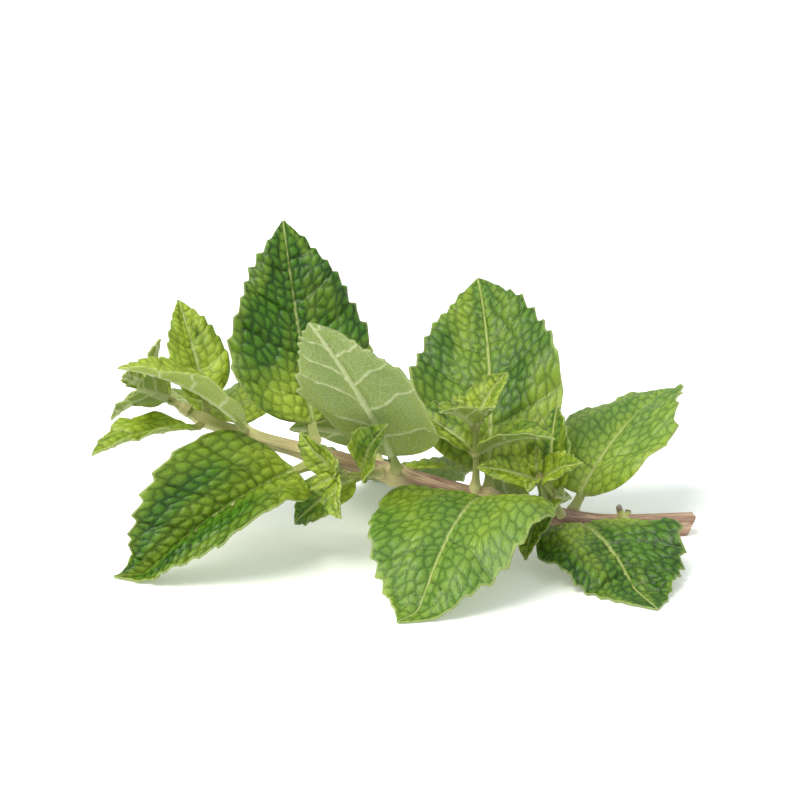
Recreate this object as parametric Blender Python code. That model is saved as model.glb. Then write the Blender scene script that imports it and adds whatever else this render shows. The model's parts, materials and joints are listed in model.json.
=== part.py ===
"""A sprig of garden mint, cut from the plant and laid on a table.

One square stem carries pairs of toothed, quilted leaves, with small leafy shoots in the
lower leaf angles and a bud at the tip. Everything is one plant, so nothing moves.

Frame: metres, +Z up. The stem runs along X, with its cut end at +X and its tip at -X.
The side at -Y is called near and the side at +Y far. The table is z = 0.
"""

import math
from dataclasses import dataclass

import bmesh
import bpy
import numpy as np
from mathutils import Matrix, Vector

MM = 0.001

# ---------------------------------------------------------------- the stem's dimensions
STEM_HALF_BASE = 1.9 * MM  # half the width across the flats at the cut end
STEM_HALF_TIP = 0.7 * MM
STEM_TAPER = 1.1  # above 1 the stem stays thick for longer
STEM_CORNER = 0.32  # corner radius as a share of the half width
STEM_TWIST = math.radians(45)  # the leafy part is turned an eighth against the flat end
STEPS_BETWEEN = 4  # rings of points from one course point to the next
NODE_SWELL = 0.28  # how much thicker the stem is where a pair of leaves joins it
NODE_REACH = 2.2 * MM
CUT_SLANT = math.radians(24)

# The stem's course, from the cut end to the tip. Its first stretch lies flat.
STEM_COURSE = {
    "cut": (58, 5.8, 1.9),
    "flat_end": (44, 4.2, 1.9),
    "node_a": (34, 2.9, 3.2),
    "node_b": (18, 0.4, 8.0),
    "node_c": (1, -1.0, 13.5),
    "node_d": (-14, -0.8, 17.5),
    "node_e": (-26, 0.6, 20.5),
    "node_f": (-34, 2.2, 23.0),
    "tip": (-38.5, 3.2, 25.5),
}
MIDDLE = Vector((2.145, 1.14, 0)) * MM  # the whole sprig's middle, moved to the origin
COURSE = [Vector(point) * MM - MIDDLE for point in STEM_COURSE.values()]
PLACES = list(STEM_COURSE)

# ---------------------------------------------------------------- the leaves' dimensions
BLADE_THICK = 0.6 * MM
PETIOLE_THICK = 1.5 * MM
PETIOLE_HALF = 0.75 * MM
PETIOLE_ROWS = 3
RIB_SHARE = 0.7  # how much of the petiole's extra thickness runs on under the midrib
JOINT_GAP = 0.3 * MM  # between a leaf's foot and the stem

BASE_ROUNDING = 0.5  # powers of the outline: the smaller, the blunter that end
TIP_POINTING = 1.0
BASE_ROW = 0.018  # a row of points close to the blade's foot, which rounds its base
VEIN_SWEEP = 0.62  # how far the side veins run forward for each unit outward
VEIN_ARCH = 1.4  # above 1 the side veins bend forward near the edge
TEETH_PER_VEIN = 2
TOOTH_DEPTH = 1.0 * MM
TOOTH_PEAK = 0.62  # where in its own length a tooth is highest, so teeth lean to the tip
TOOTH_LEAN = 0.5  # how far a tooth points forward for each unit outward
TOOTH_EDGE = 8  # the power that keeps the teeth to the very edge
QUILT_HEIGHT = 0.55 * MM  # how far the blade puffs up between its side veins
EDGE_WAVES = 2.3  # waves of the margin along the blade
SAG_BUILD = 1.2  # above 1 the midrib bends more towards the tip
SPINE_STEPS = 96
LANDING = 3.5 * MM  # how far a drooping midrib goes on while it levels out over the table
TABLE_PRESS = 1.2 * MM  # how far under the table its end would come to lie
TABLE_SOFTNESS = 0.7 * MM  # how gradually a blade settles onto the table
TABLE_AIR = 0.12 * MM


@dataclass
class Leaf:
    """One leaf: where it starts, which way it sets off, and how its blade is bent.

    aim's columns are the midrib's direction, the blade's left side and its upper face,
    all at the foot. Angles are radians. sag turns the midrib away from the upper face
    over the leaf's length, swing turns it sideways and twist rolls it. fold lifts both
    halves about the midrib, and curl bends them further on towards the edge.
    """

    name: str
    foot: Vector
    aim: Matrix
    length: float
    width: float
    petiole: float
    sag: float = 0.0
    swing: float = 0.0
    twist: float = 0.0
    fold: float = 0.0
    curl: float = 0.0
    wave: float = 0.0
    phase: float = 0.0
    teeth: int = 10
    columns: int = 3
    scale: float = 1.0


# ---------------------------------------------------------------- the stem's course
def stem_point(at):
    """The centreline at a fractional index into the course: a Catmull-Rom curve."""
    i = min(int(at), len(COURSE) - 2)
    f = at - i
    here, there = COURSE[i], COURSE[i + 1]
    if i == 0:
        return here.lerp(there, f)
    after = COURSE[i + 2] if i + 2 < len(COURSE) else there * 2 - here
    slope_here = (there - COURSE[i - 1]) / 2
    slope_there = (after - here) / 2
    return (
        here * (2 * f**3 - 3 * f**2 + 1)
        + slope_here * (f**3 - 2 * f**2 + f)
        + there * (3 * f**2 - 2 * f**3)
        + slope_there * (f**3 - f**2)
    )


def stem_direction(at):
    """The unit direction along the stem, towards the tip."""
    step = 0.02
    low, high = max(at - step, 0), min(at + step, len(COURSE) - 1)
    return (stem_point(high) - stem_point(low)).normalized()


def stem_half(at):
    """Half the stem's width across its flats: tapered, and swollen at each node."""
    share = max(0.0, at - 1) / (len(COURSE) - 2)
    half = STEM_HALF_BASE + (STEM_HALF_TIP - STEM_HALF_BASE) * share**STEM_TAPER
    here = stem_point(at)
    nodes = COURSE[PLACES.index("node_b") : PLACES.index("tip")]
    swell = sum(math.exp(-(((here - node).length / NODE_REACH) ** 2)) for node in nodes)
    return half * (1 + NODE_SWELL * min(swell, 1))


# ---------------------------------------------------------------- the leaf's form
def ovate(x):
    """The outline's half width at a share x of the blade, as a share of its widest."""
    peak = BASE_ROUNDING / (BASE_ROUNDING + TIP_POINTING)
    highest = peak**BASE_ROUNDING * (1 - peak) ** TIP_POINTING
    x = np.clip(x, 0, 1)
    return x**BASE_ROUNDING * (1 - x) ** TIP_POINTING / highest


def flat_blade(leaf, t, s):
    """Where each grid point lies on the flat leaf: across, along, and how far it puffs.

    t is the share of the midrib, below 0 on the petiole; s runs from -1 to 1 across. Rows
    of equal t follow the side veins, so the outline is met where its vein arrives.
    """
    blade = t > 0
    sweep = VEIN_SWEEP * np.sin(np.pi * np.clip(t, 0, 1)) ** 0.7
    shape = ovate(t)
    for _ in range(6):
        shape = ovate(t + sweep * shape * leaf.width / 2 / leaf.length)
    stalk_half = PETIOLE_HALF * leaf.scale * np.clip(1 - t, 0, 1)
    reach = np.maximum(leaf.width / 2 * shape * blade, stalk_half)
    beat = (t * leaf.teeth) % 1.0
    tooth = np.where(beat < TOOTH_PEAK, beat / TOOTH_PEAK, (1 - beat) / (1 - TOOTH_PEAK))
    depth = TOOTH_DEPTH * leaf.scale**2 * np.clip(2 * shape, 0, 1) * blade
    edge = np.abs(s) ** TOOTH_EDGE * depth * tooth
    across = s * reach + np.sign(s) * edge
    along = leaf.length * t + sweep * reach * np.abs(s) ** VEIN_ARCH * blade + TOOTH_LEAN * edge
    cell = t * leaf.teeth / TEETH_PER_VEIN + 0.25 * (s > 0)
    between = np.clip(4 * np.abs(s) * (1.15 - np.abs(s)), 0, 1)
    puff = np.abs(np.sin(np.pi * cell)) * between * np.clip(1.5 * shape, 0, 1) * blade
    return across, along, QUILT_HEIGHT * leaf.scale * puff


def turned(leaf, share):
    """The leaf's three directions at each share of its whole length, as (n, 3, 3)."""
    axes = []
    for u in share:
        bend = Matrix.Rotation(leaf.sag * u**SAG_BUILD, 3, "Y")
        bend = bend @ Matrix.Rotation(leaf.swing * u, 3, "Z")
        bend = bend @ Matrix.Rotation(leaf.twist * u, 3, "X")
        axes.append(np.array(leaf.aim @ bend))
    return np.array(axes)


def midrib(leaf):
    """Shares along the midrib, its points, and the leaf's three directions at each point.

    The midrib follows the leaf's own bend, but near the table it comes down ever less
    steeply, so that the end of a drooping leaf lies down instead of sinking in.
    """
    step = (leaf.petiole + leaf.length) / SPINE_STEPS
    share = np.arange(int(SPINE_STEPS * 1.25) + 1) / SPINE_STEPS
    point = np.array(leaf.foot)
    points, frames = [], []
    for axes in turned(leaf, share):
        ahead, left = axes[:, 0], axes[:, 1]
        steepest = -max(point[2] + TABLE_PRESS, 0) / LANDING
        if ahead[2] < steepest:
            level = ahead[:2] / np.hypot(*ahead[:2]) * np.sqrt(1 - steepest**2)
            ahead = np.array([*level, steepest])
            left = left - ahead * left.dot(ahead)
            left = left / np.linalg.norm(left)
        points.append(point)
        frames.append(np.stack([ahead, left, np.cross(ahead, left)], axis=1))
        point = point + ahead * step
    return share, np.array(points), np.array(frames)


def bent(leaf, t, across, along, puff):
    """Carries flat leaf points onto the bent leaf, and rests what would sink on the table."""
    knots, points, frames = midrib(leaf)
    share = np.maximum((along + leaf.petiole) / (leaf.petiole + leaf.length), 0)
    spine = np.stack([np.interp(share, knots, points[:, k]) for k in range(3)], axis=1)
    frames = frames.reshape(len(knots), 9)
    frame = np.stack([np.interp(share, knots, frames[:, k]) for k in range(9)], axis=1)
    frame = frame.reshape(len(t), 3, 3)
    half = leaf.width / 2
    onset = np.clip(t * 8, 0, 1)
    fold = leaf.fold * onset
    rate = leaf.curl * onset / half + 1e-6
    reach = np.abs(across)
    out = (np.sin(fold + rate * reach) - np.sin(fold)) / rate
    lift = (np.cos(fold) - np.cos(fold + rate * reach)) / rate
    side = np.sign(across)
    ripple = np.sin(2 * np.pi * EDGE_WAVES * t + leaf.phase + 1.9 * (side > 0))
    lift = lift + puff + leaf.wave * (reach / half) ** 2 * ripple * onset
    place = (
        spine
        + frame[:, :, 1] * (side * out)[:, None]
        + frame[:, :, 2] * lift[:, None]
    )
    floor = BLADE_THICK + TABLE_AIR
    above = place[:, 2] - floor
    place[:, 2] = floor + (above + np.sqrt(above**2 + TABLE_SOFTNESS**2)) / 2
    return place


def leaf_rows(leaf):
    """The share t of each row of points: the petiole's, then two for each tooth."""
    count = PETIOLE_ROWS if leaf.columns > 1 else 1
    rows = [(i / count - 1) * leaf.petiole / leaf.length for i in range(count)]
    rows += [0.0, BASE_ROW]
    for tooth in range(leaf.teeth):
        rows += [(tooth + TOOTH_PEAK) / leaf.teeth, (tooth + 1) / leaf.teeth]
    return np.array(rows)


def leaf_mesh(leaf):
    """The upper face as a grid, with each point's share of full thickness."""
    rows = leaf_rows(leaf)
    bm = bmesh.new()
    bmesh.ops.create_grid(bm, x_segments=2 * leaf.columns, y_segments=len(rows) - 1, size=1)
    bm.verts.ensure_lookup_table()
    grid = np.array([vert.co for vert in bm.verts])
    s = -grid[:, 0]
    t = rows[np.rint((grid[:, 1] + 1) / 2 * (len(rows) - 1)).astype(int)]
    for vert, point in zip(bm.verts, bent(leaf, t, *flat_blade(leaf, t, s))):
        vert.co = point
    thin = BLADE_THICK / (PETIOLE_THICK * leaf.scale)
    rib = RIB_SHARE * np.clip(1 - 1.2 * leaf.columns * np.abs(s), 0, 1) * np.clip(1 - t, 0, 1)
    thickness = np.where(t <= 0, 1.0, thin + (1 - thin) * rib)
    layer = bm.verts.layers.float.new("thickness")
    for vert, share in zip(bm.verts, thickness):
        vert[layer] = share
    bmesh.ops.remove_doubles(bm, verts=bm.verts, dist=1e-6)
    bmesh.ops.triangulate(bm, faces=bm.faces)
    mesh = bpy.data.meshes.new(leaf.name)
    bm.to_mesh(mesh)
    bm.free()
    return mesh


def leaf_object(leaf, material):
    """A leaf as one solid: its upper face, thickened downwards."""
    mesh = leaf_mesh(leaf)
    obj = add_object(leaf.name, mesh, material)
    group = obj.vertex_groups.new(name="thickness")
    for vert, share in zip(mesh.vertices, mesh.attributes["thickness"].data):
        group.add([vert.index], share.value, "REPLACE")
    solid = obj.modifiers.new("thickness", "SOLIDIFY")
    solid.thickness = PETIOLE_THICK * leaf.scale
    solid.offset = -1
    solid.vertex_group = group.name
    mesh.shade_smooth()
    return obj


# ---------------------------------------------------------------- scene helpers
def clear_scene():
    for obj in list(bpy.data.objects):
        bpy.data.objects.remove(obj)


def add_object(name, mesh, material):
    obj = bpy.data.objects.new(name, mesh)
    bpy.context.scene.collection.objects.link(obj)
    mesh.materials.append(material)
    return obj


def plant_material(name, colour, roughness):
    material = bpy.data.materials.new(name)
    material.use_nodes = True
    shader = material.node_tree.nodes["Principled BSDF"]
    shader.inputs["Base Color"].default_value = (*colour, 1)
    shader.inputs["Roughness"].default_value = roughness
    shader.inputs["Metallic"].default_value = 0
    return material


def direction_of(heading, rise):
    """A unit direction from a compass heading (0 is +X, 90 is +Y) and a rise, in degrees."""
    h, r = math.radians(heading), math.radians(rise)
    return Vector((math.cos(h) * math.cos(r), math.sin(h) * math.cos(r), math.sin(r)))


def baked(obj):
    """The object's mesh as its modifiers leave it."""
    bpy.context.view_layer.update()
    graph = bpy.context.evaluated_depsgraph_get()
    return bpy.data.meshes.new_from_object(obj.evaluated_get(graph))


def rod(name, foot, direction, length, half_foot, half_end, sides, material):
    """A tapered round rod that starts at foot and runs along direction."""
    bm = bmesh.new()
    bmesh.ops.create_cone(
        bm,
        cap_ends=True,
        segments=sides,
        radius1=half_foot,
        radius2=half_end,
        depth=length,
    )
    turn = direction.to_track_quat("Z", "Y").to_matrix().to_4x4()
    place = Matrix.Translation(foot + direction * length / 2) @ turn
    bmesh.ops.transform(bm, matrix=place, verts=bm.verts)
    mesh = bpy.data.meshes.new(name)
    bm.to_mesh(mesh)
    bm.free()
    return add_object(name, mesh, material)


def fused(name, objects, material):
    """One solid from several that overlap: a single Boolean union on a collection."""
    first, *others = objects
    group = bpy.data.collections.new(name)
    for obj in others:
        bpy.context.scene.collection.objects.unlink(obj)
        group.objects.link(obj)
    union = first.modifiers.new("union", "BOOLEAN")
    union.operation = "UNION"
    union.operand_type = "COLLECTION"
    union.collection = group
    union.solver = "EXACT"
    mesh = baked(first)
    for obj in objects:
        bpy.data.objects.remove(obj)
    bpy.data.collections.remove(group)
    mesh.materials.clear()
    return add_object(name, mesh, material)


# ---------------------------------------------------------------- the stem
STUB_HALF = 0.85 * MM
STUB_SIDES = 8


def square_section():
    """A rounded square, two units across, that the stem's centreline carries."""
    curve = bpy.data.curves.new("stem_section", "CURVE")
    curve.dimensions = "2D"
    points = []
    for corner in range(4):
        middle = math.radians(45 + 90 * corner)
        centre = Vector((math.cos(middle), math.sin(middle))) * math.sqrt(2) * (1 - STEM_CORNER)
        for turn in (-45, 0, 45):
            angle = middle + math.radians(turn)
            points.append(centre + Vector((math.cos(angle), math.sin(angle))) * STEM_CORNER)
    spline = curve.splines.new("POLY")
    spline.points.add(len(points) - 1)
    for point, place in zip(spline.points, points):
        point.co = (place.x, place.y, 0, 1)
    spline.use_cyclic_u = True
    obj = bpy.data.objects.new("stem_section", curve)
    bpy.context.scene.collection.objects.link(obj)
    obj.hide_render = True
    obj.display_type = "WIRE"
    return obj


def stem_twist(at):
    """The section's turn: none on the flat end, then growing up to node_b."""
    start, end = PLACES.index("flat_end"), PLACES.index("node_b")
    return STEM_TWIST * min(max((at - start) / (end - start), 0), 1)


def stem_tube(section):
    """The square tube along the course, as a closed mesh."""
    last = len(COURSE) - 1
    stations = [0, 0.5, 1] + [1 + (i + 1) / STEPS_BETWEEN for i in range((last - 1) * STEPS_BETWEEN)]
    curve = bpy.data.curves.new("stem", "CURVE")
    curve.dimensions = "3D"
    curve.twist_mode = "Z_UP"
    curve.bevel_mode = "OBJECT"
    curve.bevel_object = section
    curve.use_fill_caps = True
    spline = curve.splines.new("POLY")
    spline.points.add(len(stations) - 1)
    for point, at in zip(spline.points, stations):
        point.co = (*stem_point(at), 1)
        point.radius = stem_half(at)
        point.tilt = stem_twist(at)
    obj = bpy.data.objects.new("stem", curve)
    bpy.context.scene.collection.objects.link(obj)
    mesh = baked(obj)
    bpy.data.objects.remove(obj)
    bm = bmesh.new()
    bm.from_mesh(mesh)
    bmesh.ops.remove_doubles(bm, verts=bm.verts, dist=1e-7)
    bmesh.ops.recalc_face_normals(bm, faces=bm.faces)
    bm.to_mesh(mesh)
    bm.free()
    return mesh


def cut_slanting(mesh):
    """Trims the stem's end on the slant, as a knife leaves it."""
    bm = bmesh.new()
    bm.from_mesh(mesh)
    outward = (COURSE[0] - COURSE[1]).normalized()
    cut = bmesh.ops.bisect_plane(
        bm,
        geom=bm.verts[:] + bm.edges[:] + bm.faces[:],
        plane_co=COURSE[0] - outward * STEM_HALF_BASE,
        plane_no=Matrix.Rotation(CUT_SLANT, 3, "Y") @ outward,
        clear_outer=True,
    )
    edges = [item for item in cut["geom_cut"] if isinstance(item, bmesh.types.BMEdge)]
    bmesh.ops.holes_fill(bm, edges=edges)
    bmesh.ops.recalc_face_normals(bm, faces=bm.faces)
    bm.to_mesh(mesh)
    bm.free()


def stem(material):
    """The stem, with the stubs of two leaf stalks where the lowest pair was stripped."""
    mesh = stem_tube(square_section())
    cut_slanting(mesh)
    parts = [add_object("stem_body", mesh, material)]
    bare_node = COURSE[PLACES.index("flat_end")]
    for heading, rise, length in [(250, 50, 7.5), (76, 34, 4.2)]:
        direction = direction_of(heading, rise)
        name = f"stub_{heading}"
        thin = STUB_HALF * 0.7
        parts.append(
            rod(name, bare_node, direction, length * MM, STUB_HALF, thin, STUB_SIDES, material)
        )
    return fused("stem", parts, material)


# ---------------------------------------------------------------- leaves on the stem
ANGLES = ("sag", "swing", "twist", "fold", "curl")


def level_aim(heading, rise, roll):
    """The leaf's directions when its upper face is up, then rolled about the midrib."""
    aim = Matrix.Rotation(math.radians(heading), 3, "Z")
    aim = aim @ Matrix.Rotation(-math.radians(rise), 3, "Y")
    return aim @ Matrix.Rotation(math.radians(roll), 3, "X")


def stem_foot(node, direction):
    """Where a leaf that sets off this way starts, just clear of the stem's skin."""
    at = PLACES.index(node)
    along = stem_direction(at)
    outward = (direction - along * direction.dot(along)).normalized()
    lean = abs(direction.dot(along))
    clear = stem_half(at) * 1.2 + JOINT_GAP + PETIOLE_HALF * lean
    return stem_point(at) + outward * clear


def stem_leaf(name, node, heading, rise, length, width, roll=0, petiole=3.2, wave=0, **bends):
    """A leaf of the main stem. Lengths are millimetres and angles degrees."""
    return Leaf(
        name,
        stem_foot(node, direction_of(heading, rise)),
        level_aim(heading, rise, roll),
        length * MM,
        width * MM,
        petiole * MM,
        wave=wave * MM,
        **{key: math.radians(value) if key in ANGLES else value for key, value in bends.items()},
    )


def stem_leaves():
    """The pairs, from the lowest up. Near and far leaves take turns to lie and to stand."""
    return [
        stem_leaf("leaf_1_far", "node_a", 54, 42, 38, 25, sag=44, fold=16, curl=-18, wave=1.6,
                  twist=-16, teeth=9, phase=0.5),
        stem_leaf("leaf_1_near", "node_a", 287, 11, 38, 25, sag=58, fold=14, curl=-20, wave=1.7,
                  twist=10, phase=2.6),
        stem_leaf("leaf_2_near", "node_b", 256, 24, 47, 32, sag=94, fold=14, curl=-22, wave=1.8,
                  swing=-12, twist=8, phase=1.7),
        stem_leaf("leaf_2_far", "node_b", 84, 52, 46, 29, sag=26, fold=10, curl=14, wave=2.0,
                  swing=12, twist=-14, phase=2.9),
        stem_leaf("leaf_3_near", "node_c", 244, 52, 40, 26, sag=6, fold=14, curl=-26, wave=1.5,
                  swing=-8, phase=0.2),
        stem_leaf("leaf_3_far", "node_c", 84, -8, 45, 31, sag=36, fold=10, curl=-15, wave=1.7,
                  swing=10, phase=4.0),
        stem_leaf("leaf_4_near", "node_d", 218, -10, 40, 26, sag=48, fold=42, curl=-14, wave=1.0,
                  roll=-26, phase=3.3),
        stem_leaf("leaf_4_far", "node_d", 112, 64, 38, 26, sag=-8, fold=10, curl=-24, wave=1.3,
                  roll=-6, phase=5.1),
        stem_leaf("leaf_5_near", "node_e", 208, 46, 27, 16, sag=36, fold=16, curl=8, wave=0.8,
                  petiole=2.2, phase=0.9, teeth=8, columns=2, scale=0.8),
        stem_leaf("leaf_5_far", "node_e", 115, 16, 31, 19, sag=56, fold=20, curl=-12, wave=0.8,
                  petiole=3, phase=2.2, teeth=8, columns=2, scale=0.8),
        stem_leaf("leaf_6_near", "node_f", 216, 6, 21, 12, sag=24, fold=20, curl=-8, wave=0.5,
                  petiole=1.8, phase=1.1, teeth=7, columns=2, scale=0.7),
        stem_leaf("leaf_6_far", "node_f", 120, 62, 20, 12, sag=10, fold=18, curl=-6, wave=0.5,
                  petiole=1.8, phase=4.2, teeth=7, columns=2, scale=0.7),
    ]


# ---------------------------------------------------------------- side shoots and the bud
STALK_HALF = 0.8 * MM
STALK_SIDES = 7
STALK_TAPER = 0.6
AXIL_STEP = 2.6 * MM  # how far tipward of its leaf a side shoot starts
LEAF_SINK = 0.5 * MM  # how far a small leaf's foot is set back into the stalk
PAIR_STAGGER = 0.27 * MM  # one leaf of a small pair sits a little above the other
SMALL_SLIM = 0.58  # a small leaf's width as a share of its length
SMALL_SPREAD = math.radians(54)  # how far a small leaf leans out from its own stalk
SPREAD_CLOSING = 0.22  # how much less the next pair up leans out


def small_leaf(name, foot, direction, side, pair, half_turn, length):
    """A small leaf on a shoot, its upper face towards the shoot's end."""
    outward = Matrix.Rotation(math.pi * half_turn + math.pi / 2 * pair, 3, direction) @ side
    spread = SMALL_SPREAD * (1 - SPREAD_CLOSING * pair)
    midrib = direction * math.cos(spread) + outward * math.sin(spread)
    face = direction * math.sin(spread) - outward * math.cos(spread)
    return Leaf(
        name,
        foot,
        Matrix((midrib, face.cross(midrib), face)).transposed(),
        length,
        length * SMALL_SLIM,
        petiole=1.4 * MM,
        sag=math.radians(38),
        fold=math.radians(22),
        wave=0.03 * length,
        phase=1.3 * pair + 2 * half_turn,
        teeth=5,
        columns=1,
        scale=0.7,
    )


def shoot(name, root, direction, turn, length, pairs, material):
    """A small leafy shoot in one piece. pairs lists (share of the stalk, leaf length)."""
    side = Matrix.Rotation(math.radians(turn), 3, direction) @ direction.orthogonal().normalized()
    thin = STALK_HALF * STALK_TAPER
    parts = [rod(name, root, direction, length, STALK_HALF, thin, STALK_SIDES, material)]
    for pair, (share, leaf_length) in enumerate(pairs):
        for half_turn in range(2):
            foot = root + direction * (length * share - LEAF_SINK + PAIR_STAGGER * half_turn)
            leaf_name = f"{name}_leaf_{pair}_{half_turn}"
            leaf = small_leaf(leaf_name, foot, direction, side, pair, half_turn, leaf_length * MM)
            parts.append(leaf_object(leaf, material))
    return fused(name, parts, material)


def shoots(material):
    """The shoots in the lower leaf angles, and the bud that ends the stem."""
    for name, node, heading, rise, turn, length, pairs in [
        ("shoot_1_near", "node_a", 236, 44, 20, 12, [(0.5, 16), (0.95, 11)]),
        ("shoot_1_far", "node_a", 132, 6, 50, 10, [(0.5, 14), (0.95, 10)]),
        ("shoot_2_near", "node_b", 238, 84, 100, 12, [(0.5, 17), (0.95, 12)]),
        ("shoot_3_near", "node_c", 222, 12, 90, 10, [(0.5, 15), (0.95, 10)]),
        ("shoot_3_far", "node_c", 104, 25, 50, 12, [(0.5, 15), (0.95, 11)]),
    ]:
        direction = direction_of(heading, rise)
        along = stem_direction(PLACES.index(node))
        root = stem_foot(node, direction) + along * AXIL_STEP
        shoot(name, root, direction, turn, length * MM, pairs, material)
    direction = stem_direction(len(COURSE) - 1)
    root = COURSE[-1] + direction * JOINT_GAP
    shoot("tip_bud", root, direction, 60, 6 * MM, [(0.3, 13), (0.7, 9), (0.98, 6)], material)


def build():
    clear_scene()
    stem(plant_material("stem_skin", (0.19, 0.10, 0.065), 0.5))
    leaf_green = plant_material("leaf_green", (0.13, 0.28, 0.035), 0.55)
    for leaf in stem_leaves():
        leaf_object(leaf, leaf_green)
    shoots(plant_material("young_leaf_green", (0.35, 0.48, 0.07), 0.55))


build()
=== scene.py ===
# %% [markdown]
# # A sprig of garden mint
#
# The sprig lies on a table: one square stem with toothed, puckered leaves in pairs, small
# leafy shoots in the lower leaf angles, and a bud at the tip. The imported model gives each
# leaf its place, its size and its bend. This script keeps all three and gives every leaf the
# fine surface that makes mint look like mint: puffed cells between sunken veins above, and
# raised pale veins below.

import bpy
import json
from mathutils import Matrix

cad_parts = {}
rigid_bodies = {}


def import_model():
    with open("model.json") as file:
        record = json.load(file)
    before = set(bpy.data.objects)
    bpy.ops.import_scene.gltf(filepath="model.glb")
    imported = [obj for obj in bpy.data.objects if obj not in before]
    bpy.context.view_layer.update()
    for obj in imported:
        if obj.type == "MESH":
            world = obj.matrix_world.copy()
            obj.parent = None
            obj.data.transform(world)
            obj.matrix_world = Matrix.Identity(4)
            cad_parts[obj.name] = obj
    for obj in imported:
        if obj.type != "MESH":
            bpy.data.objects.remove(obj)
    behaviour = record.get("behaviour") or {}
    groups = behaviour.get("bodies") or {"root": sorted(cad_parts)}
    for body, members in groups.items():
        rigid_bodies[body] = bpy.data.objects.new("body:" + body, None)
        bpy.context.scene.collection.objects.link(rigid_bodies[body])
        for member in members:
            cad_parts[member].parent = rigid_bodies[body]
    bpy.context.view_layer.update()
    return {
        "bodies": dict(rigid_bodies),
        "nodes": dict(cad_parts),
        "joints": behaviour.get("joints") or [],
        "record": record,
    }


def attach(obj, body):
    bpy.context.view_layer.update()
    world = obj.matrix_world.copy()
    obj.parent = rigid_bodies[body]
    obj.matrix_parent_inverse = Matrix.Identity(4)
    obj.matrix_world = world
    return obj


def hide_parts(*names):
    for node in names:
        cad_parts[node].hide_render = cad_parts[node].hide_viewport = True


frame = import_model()
print("parts in the frame:", len(frame["nodes"]))

# %% Units and the libraries that the next cells use
import json
import math
from dataclasses import dataclass
from functools import partial

import bmesh
import bpy
import numpy as np
from mathutils import Matrix, Vector

MM = 0.001
SAME_POINT = 0.002 * MM  # points closer than this are merged


def linear(hex_colour):
    """A colour written as sRGB hex, as the four linear numbers that a shader takes."""
    shares = [int(hex_colour[i : i + 2], 16) / 255 for i in (1, 3, 5)]
    return [c / 12.92 if c <= 0.04045 else ((c + 0.055) / 1.055) ** 2.4 for c in shares] + [1]


# %% [markdown]
# ## Nodes
#
# Leaf relief and leaf colour both come from the same net of veins. Blender's texture nodes
# work in a geometry tree as well as in a material, so one small function that adds a node is
# enough to draw the net twice: once to push the mesh about, once to tint it.

# %% One function that adds a node
MATH, RANGE, MIX = "ShaderNodeMath", "ShaderNodeMapRange", "ShaderNodeMix"
SMOOTH = {"interpolation_type": "SMOOTHSTEP"}
COLOUR = {"data_type": "RGBA"}


def add(tree, kind, *values, **named):
    """Adds a node. Values fill its shown inputs in order, and a name with a capital is an
    input too. The other names are its settings. A node or a socket is linked, and anything
    else is set.
    """
    node = tree.nodes.new(kind)
    for name in filter(str.islower, named):
        setattr(node, name, named[name])
    shown = [socket for socket in node.inputs if socket.enabled]
    given = list(zip(shown, values))
    given += [(node.inputs[name], named[name]) for name in named if not name.islower()]
    for socket, value in given:
        if isinstance(value, bpy.types.Node):
            value = next(output for output in value.outputs if output.enabled)
        if isinstance(value, bpy.types.NodeSocket):
            tree.links.new(value, socket)
        else:
            socket.default_value = value
    return node


def new_material(name):
    """A new material, its tree, its shader, and add() for that tree."""
    material = bpy.data.materials.new(name)
    material.use_nodes = True
    tree = material.node_tree
    return material, tree, tree.nodes["Principled BSDF"], partial(add, tree)


# %% [markdown]
# ## Table, light and camera
#
# A white table under a large soft light, as for a picture in a herb book. The table top is
# milky acrylic with a faint lamp under it, so the shadows stay pale and the leaves get some
# light from below. The room is an even white, and one broad lamp from above and to the left
# gives each puffed cell a lit side. The lens is long, so the sprig keeps its proportions.

# %% The table
TABLE_HALF = 6.0  # metres, so that its far edge stays out of sight
bm = bmesh.new()
bmesh.ops.create_grid(bm, x_segments=1, y_segments=1, size=TABLE_HALF)
table_mesh = bpy.data.meshes.new("table")
bm.to_mesh(table_mesh)
bm.free()
table = bpy.data.objects.new("table", table_mesh)
bpy.context.scene.collection.objects.link(table)
acrylic, _, shader, _ = new_material("milky_acrylic_table")
shader.inputs["Base Color"].default_value = linear("#f7faf8")
shader.inputs["Roughness"].default_value = 0.7
shader.inputs["Emission Color"].default_value = linear("#ffffff")
shader.inputs["Emission Strength"].default_value = 0.2
table_mesh.materials.append(acrylic)
print("table, metres across:", 2 * TABLE_HALF)

# %% The light
world = bpy.data.worlds.new("soft white room")
bpy.context.scene.world = world
world.use_nodes = True
sky = world.node_tree.nodes["Background"]
sky.inputs["Color"].default_value = linear("#f6faff")
sky.inputs["Strength"].default_value = 0.75

KEY_ANGLE = math.radians(42)  # how wide the lamp looks from the table
key = bpy.data.lights.new("key", "SUN")
key.energy = 3.1
key.angle = KEY_ANGLE
key.color = linear("#fffaf0")[:3]
key_object = bpy.data.objects.new("key", key)
key_object.rotation_euler = Vector((0.42, 0.35, -0.84)).to_track_quat("-Z", "Y").to_euler()
bpy.context.scene.collection.objects.link(key_object)
bpy.context.scene.view_settings.view_transform = "Standard"
print("lamp, degrees wide:", round(math.degrees(KEY_ANGLE)))

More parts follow.
